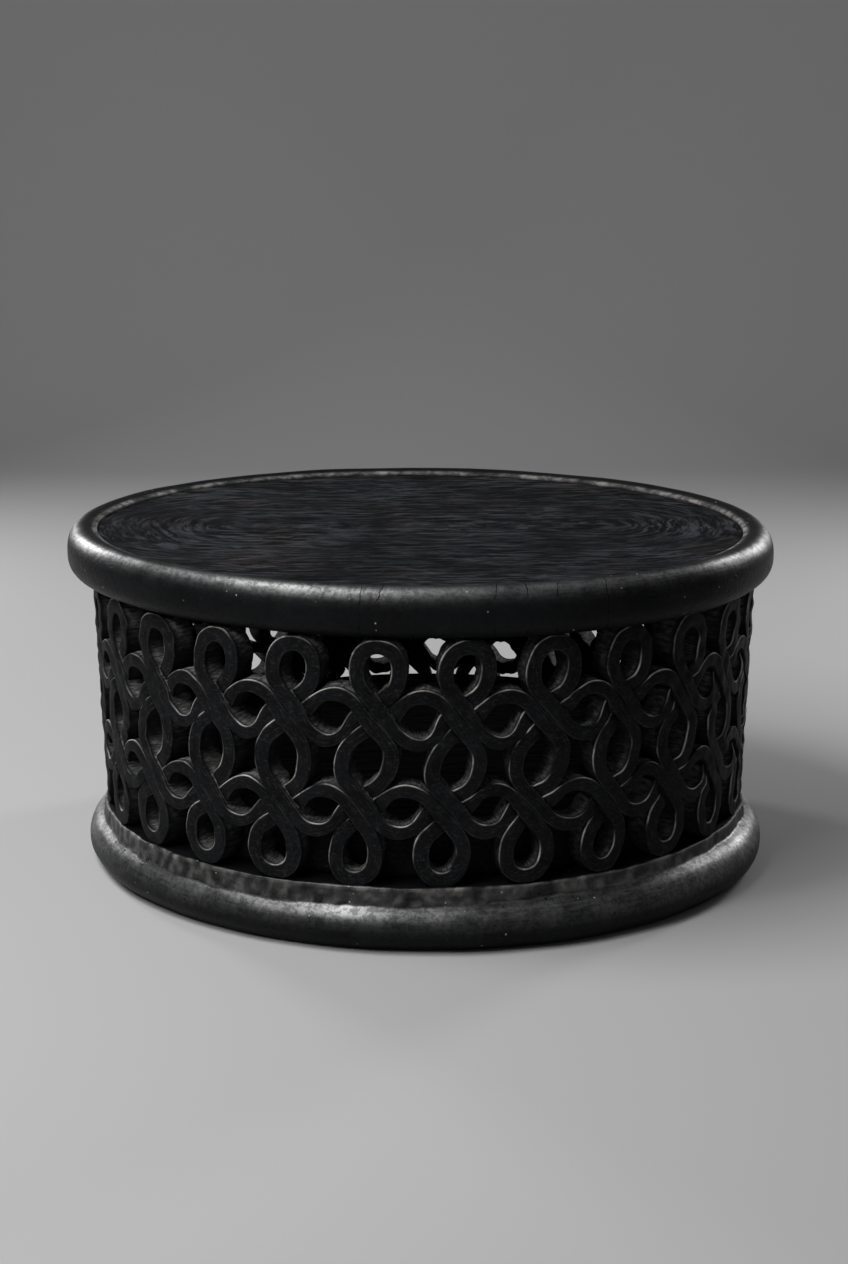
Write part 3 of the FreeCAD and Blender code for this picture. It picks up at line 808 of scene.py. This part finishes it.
class DRUM_OT_top_rim(bpy.types.Operator):
    """Make the rolled rim"""
    bl_idname = "drum.top_rim"
    bl_label = "Rolled Rim"

    def execute(self, context):
        plan, carving = context.scene.drum_plan, context.scene.drum_carving
        mean, stretch = oval_sizes(plan.top_length, plan.top_width)
        low, high = RIM_LOW[2], RIM_HIGH[2]
        dish, bore = mean - plan.rim_width, mean - plan.rim_bore
        ledge = low + plan.ledge
        brow, lip, inset = plan.brow_round, plan.lip_round, plan.crown_inset
        turn = np.radians(np.linspace(0, 90, 18))
        share = np.linspace(0, 1, 9)[1:]
        worn_round = 0.0022  # Of the edge beside the dish
        edge = dish + worn_round
        fall = high - plan.lip_drop * share ** 1.6
        inner = np.stack([mean - inset + (edge - mean + inset) * share, fall], -1)
        section = np.concatenate([
            line((bore, low), (mean - lip, low), 8),
            arc(mean - lip, low + lip, lip, -90, 0, 10),
            line((mean, low + lip), (mean, high - brow), 4),
            np.stack([mean - inset + inset * np.cos(turn), high - brow + brow * np.sin(turn)], -1),
            inner,
            arc(edge, inner[-1, 1] - worn_round, worn_round, 70, 180, 6),
            straights((dish, inner[-1, 1] - worn_round), (4, dish, ledge), (2, bore, ledge), (3, bore, low))])
        turns = around(RING_TURNS)
        along, across = np.meshgrid(turns * mean, girth_of(section), indexing="ij")
        spot = drawn_oval(section, stretch, turns, plan.plan_turn)
        shown = np.clip((section[:, 0] - dish - 0.003) / 0.006, 0, 1)
        cuts = planed(along, across, 2 * np.pi * mean, 0.075, 0.020, 21)
        shift = -carving.rim_facet * (1 - cuts) - 0.0004 * (1 + np.clip(ripple(spot, 0.16, 22), -1, 1))
        points = drawn_oval(shifted(section, shift * shown), stretch, turns, plan.plan_turn)
        # Painted highlight, partly real rubbing: the roll's share that faces up and out near 54 degrees,
        # where the lamps shine
        rub = np.broadcast_to(rolled(section, 54, 24), points.shape[:2])
        # Painted highlight, partly a real worn edge: a pale line along the rounded lip beside the dish
        lip_highlight_and_worn_edge = np.exp(-((section[:, 0] - edge) / 0.0030) ** 2) * (section[:, 1] > high - 0.012)
        worn = lip_highlight_and_worn_edge * np.clip(0.7 + 0.3 * ripple(spot, 0.06, 24), 0.2, 1)
        finish = waxed_wood("rim_wax", context.scene.drum_finish, RIM_CRACKS)
        piece("rim", points, finish, "rim_lacquer", ["top_rim"], rub=rub, cut=worn)
        return {"FINISHED"}


class DRUM_OT_base_ring(bpy.types.Operator):
    """Make the rolled base ring"""
    bl_idname = "drum.base_ring"
    bl_label = "Base Ring"

    def execute(self, context):
        plan, carving = context.scene.drum_plan, context.scene.drum_carving
        mean, stretch = oval_sizes(plan.base_length, plan.base_width)
        bore, high = mean - plan.base_bore, BASE_HIGH[2]
        rounding, toe, crown = plan.roll_round, plan.toe_round, plan.roll_height
        turns = around(RING_TURNS)
        circle = np.stack([np.cos(turns), np.sin(turns), np.zeros_like(turns)], -1) * mean
        stray = 0.35 * ripple(circle, 0.06, 34) + 0.15 * ripple(circle, 0.016, 35)
        ledge = (context.scene.drum_wall.foot_radius + carving.foot_step * (1 + 0.4 * np.clip(stray, -2, 2))
                 - stretch * np.cos(2 * turns))
        wide = 1.25 * rounding  # The roll is rounded wider than high
        angle = np.arccos(np.clip((ledge - mean) / wide + 1, 0.05, 0.95))[:, None] * np.linspace(0, 1, 22)
        roll = np.stack([mean - wide + wide * np.cos(angle), crown - rounding + rounding * np.sin(angle)], -1)
        inward = np.array([-0.0002, -0.0007, -0.0012, -0.0016, -0.003, -0.006])
        upward = np.array([0.06, 0.4, 0.75, 0.93, 0.99, 1.0])
        roll_top = roll[:, -1, 1:]
        step = np.stack([ledge[:, None] + inward, roll_top + (high - roll_top) * upward], -1)
        low = np.concatenate([line((bore, 0.0), (mean - toe, 0.0), 6), arc(mean - toe, toe, toe, -90, 0, 12)])
        top = straights((mean - 0.045, high), (9, bore, high), (7, bore, 0.0))
        every = (len(turns), 1, 1)
        section = np.concatenate([np.tile(low, every), roll, step, np.tile(top, every)], 1)
        along = np.broadcast_to((turns * mean)[:, None], section.shape[:2])
        spot = drawn_oval(section, stretch, turns, plan.plan_turn, BASE_MIDDLE)
        shown = np.clip((section[..., 0] - mean + 0.050) / 0.012, 0, 1)
        shown = shown * np.clip(section[..., 1] / 0.006, 0, 1)
        beyond = section[..., 0] - ledge[:, None]
        by_wall = np.clip(1.5 - beyond / 0.008, 0, 1) * np.clip(1.3 + beyond / 0.003, 0, 1)
        cuts = planed(along, girth_of(section), 2 * np.pi * mean, 0.060, 0.016, 31)
        shift = (-carving.base_facet * (1 - cuts) * (0.10 + 0.60 * by_wall)
                 - 0.0006 * (1 + np.clip(ripple(spot, 0.12, 32), -1, 1)))
        sections = shifted(section, shift * shown)
        sections[..., 1] = np.minimum(sections[..., 1], high)
        points = drawn_oval(sections, stretch, turns, plan.plan_turn, BASE_MIDDLE)
        # Painted highlight, partly real rubbing: the roll's share that faces up and out near 40 degrees,
        # where the lamps shine
        rub = rolled(section, 40, 26)
        uneven = 0.5 + 0.5 * np.clip(ripple(points, 0.02, 33), -1, 1)
        # Painted light, partly chisel-cut wood: a paler band on the ledge's step under the loops, standing
        # for the lit upper roll
        level = (section[..., 1] - roll_top) / (high - roll_top)
        cut = (0.32 * (level > 0.03) + 0.45 * (level > 0.8)) * uneven * (beyond > -0.004)
        finish = waxed_wood("base_wax", context.scene.drum_finish)
        piece("base", points, finish, "base_lacquer", ["base_ring"], rub=rub, cut=cut)
        return {"FINISHED"}


class DRUM_OT_wall(bpy.types.Operator):
    """Make the wall's interlaced strands"""
    bl_idname = "drum.wall"
    bl_label = "Interlaced Wall"

    def execute(self, context):
        scene = context.scene
        lattice = Lattice(scene.drum_wall, scene.drum_carving, BASE_HIGH[2], RIM_LOW[2])
        finish = carved_wood("wall_wood", scene.drum_finish)
        make_strand("strand_upper", lattice, lattice.band(1), finish, ["upper_strand"], 41)
        make_strand("strand_lower", lattice, lattice.band(-1), finish, ["lower_strand"], 51)
        ring = lattice.ring_line()
        for column, node in enumerate(RINGS):
            make_strand(f"strand_{node}", lattice, ring, finish, [node], 61 + 3 * column, column)
        return {"FINISHED"}


class DRUM_OT_drum_floor(bpy.types.Operator):
    """Make the solid floor inside the drum"""
    bl_idname = "drum.drum_floor"
    bl_label = "Drum Floor"

    def execute(self, context):
        carving = context.scene.drum_carving
        radius, low, high = (FLOOR_HIGH[0] - FLOOR_LOW[0]) / 2, FLOOR_LOW[2], FLOOR_HIGH[2]
        centre = [(a + b) / 2 for a, b in zip(FLOOR_LOW, FLOOR_HIGH)]
        edge = 0.004
        floor = np.stack([np.linspace(0.002, radius - edge, 90), np.full(90, high)], -1)
        section = np.concatenate([
            floor, arc(radius - edge, high - edge, edge, 80, 0, 5),
            straights((radius, high - edge), (6, radius, low)), line((radius, low), (0.0, low), 30)])
        points = drawn_oval(section, 0.0, around(480), 0.0, centre)
        bed = points[:, :len(floor)]
        cuts = np.abs(ripple(bed * np.array([1.0, 3.0, 1.0]), 0.09, 71))
        bed[..., 2] -= 0.0003 + carving.base_facet * 0.6 * np.clip(cuts, 0, 1.5)
        points, groups = closed_at_axis(points)
        finish = carved_wood("floor_wood", context.scene.drum_finish)
        piece("inner_floor", points, finish, "carved_wall", ["drum_floor"], groups)
        return {"FINISHED"}


class DRUM_OT_stage(bpy.types.Operator):
    """Set the floor, the lamps and the camera"""
    bl_idname = "drum.stage"
    bl_label = "Stage"

    def execute(self, context):
        scene, stage = context.scene, context.scene.drum_stage
        centre = Vector((*BASE_MIDDLE, 0.0))
        backdrop(plain_matte("floor_matt", stage.floor_colour))
        world = scene.world = bpy.data.worlds.new("studio")
        world.use_nodes = True
        sky = world.node_tree.nodes["Background"].inputs
        sky["Color"].default_value = (1, 1, 1, 1)
        sky["Strength"].default_value = 0.10
        target = centre + Vector((0, 0, 0.25))
        for name, lamp_place, size, power in LAMPS:
            softbox(name, lamp_place, target, size, power)
        camera = bpy.data.objects.new("camera", bpy.data.cameras.new("camera"))
        scene.collection.objects.link(camera)
        camera.data.lens = stage.lens
        place = centre + Vector((0, -stage.camera_distance, stage.camera_height))
        tilt = Matrix.Rotation(math.pi / 2 - stage.camera_pitch, 4, "X")
        roll = Matrix.Rotation(stage.camera_roll, 4, "Z")
        camera.matrix_world = Matrix.Translation(place) @ tilt @ roll
        scene.camera = camera
        scene.view_settings.view_transform = "Standard"
        return {"FINISHED"}


def backdrop(finish):
    """A floor that curves up behind the table: z = 0, then a quarter round, then upright."""
    depth, bend = 3.0, 1.2
    section = np.concatenate([[(-6.0, 0.0)], arc(depth, bend, bend, -90, 0, 24), [(depth + bend, 6.0)]])
    sides = np.linspace(-7, 7, 9)
    points = np.column_stack([np.repeat(sides, len(section)), np.tile(section, (len(sides), 1))])
    rows = quads(len(sides), len(section), False)[:(len(sides) - 1) * (len(section) - 1)]
    floor = smooth_object("floor", points, rows.tolist(), finish)


def softbox(name, place, target, size, power):
    """A soft rectangular lamp that faces a point."""
    lamp = bpy.data.lights.new(name, "AREA")
    lamp.shape = "RECTANGLE"
    lamp.size, lamp.size_y = size
    lamp.energy = power
    box = bpy.data.objects.new(name, lamp)
    bpy.context.scene.collection.objects.link(box)
    box.location = place
    box.visible_camera = False
    box.rotation_euler = (target - Vector(place)).to_track_quat("-Z", "Y").to_euler()


class DRUM_PT_maker(bpy.types.Panel):
    """Sizes, colours and the buttons that make each piece"""
    bl_label = "Drum Table"
    bl_idname = "DRUM_PT_maker"
    bl_space_type = "VIEW_3D"
    bl_region_type = "UI"
    bl_category = "Drum Table"

    def draw(self, context):
        for key, group in GROUPS.items():
            values = getattr(context.scene, key)
            for name in group.__annotations__:
                self.layout.prop(values, name)
        for operator in OPERATORS:
            self.layout.operator(operator.bl_idname)


OPERATORS = (DRUM_OT_top_panel, DRUM_OT_top_rim, DRUM_OT_base_ring, DRUM_OT_drum_floor, DRUM_OT_wall,
             DRUM_OT_stage)
CLASSES = (*GROUPS.values(), *OPERATORS, DRUM_PT_maker)


def register():
    for made in CLASSES:
        bpy.utils.register_class(made)
    for key, group in GROUPS.items():
        setattr(bpy.types.Scene, key, PointerProperty(type=group))


def unregister():
    for key in GROUPS:
        delattr(bpy.types.Scene, key)
    for made in reversed(CLASSES):
        bpy.utils.unregister_class(made)


def main():
    register()
    bpy.ops.drum.top_panel()
    bpy.ops.drum.top_rim()
    bpy.ops.drum.base_ring()
    bpy.ops.drum.drum_floor()
    bpy.ops.drum.wall()
    bpy.ops.drum.stage()


if __name__ == "__main__":
    main()
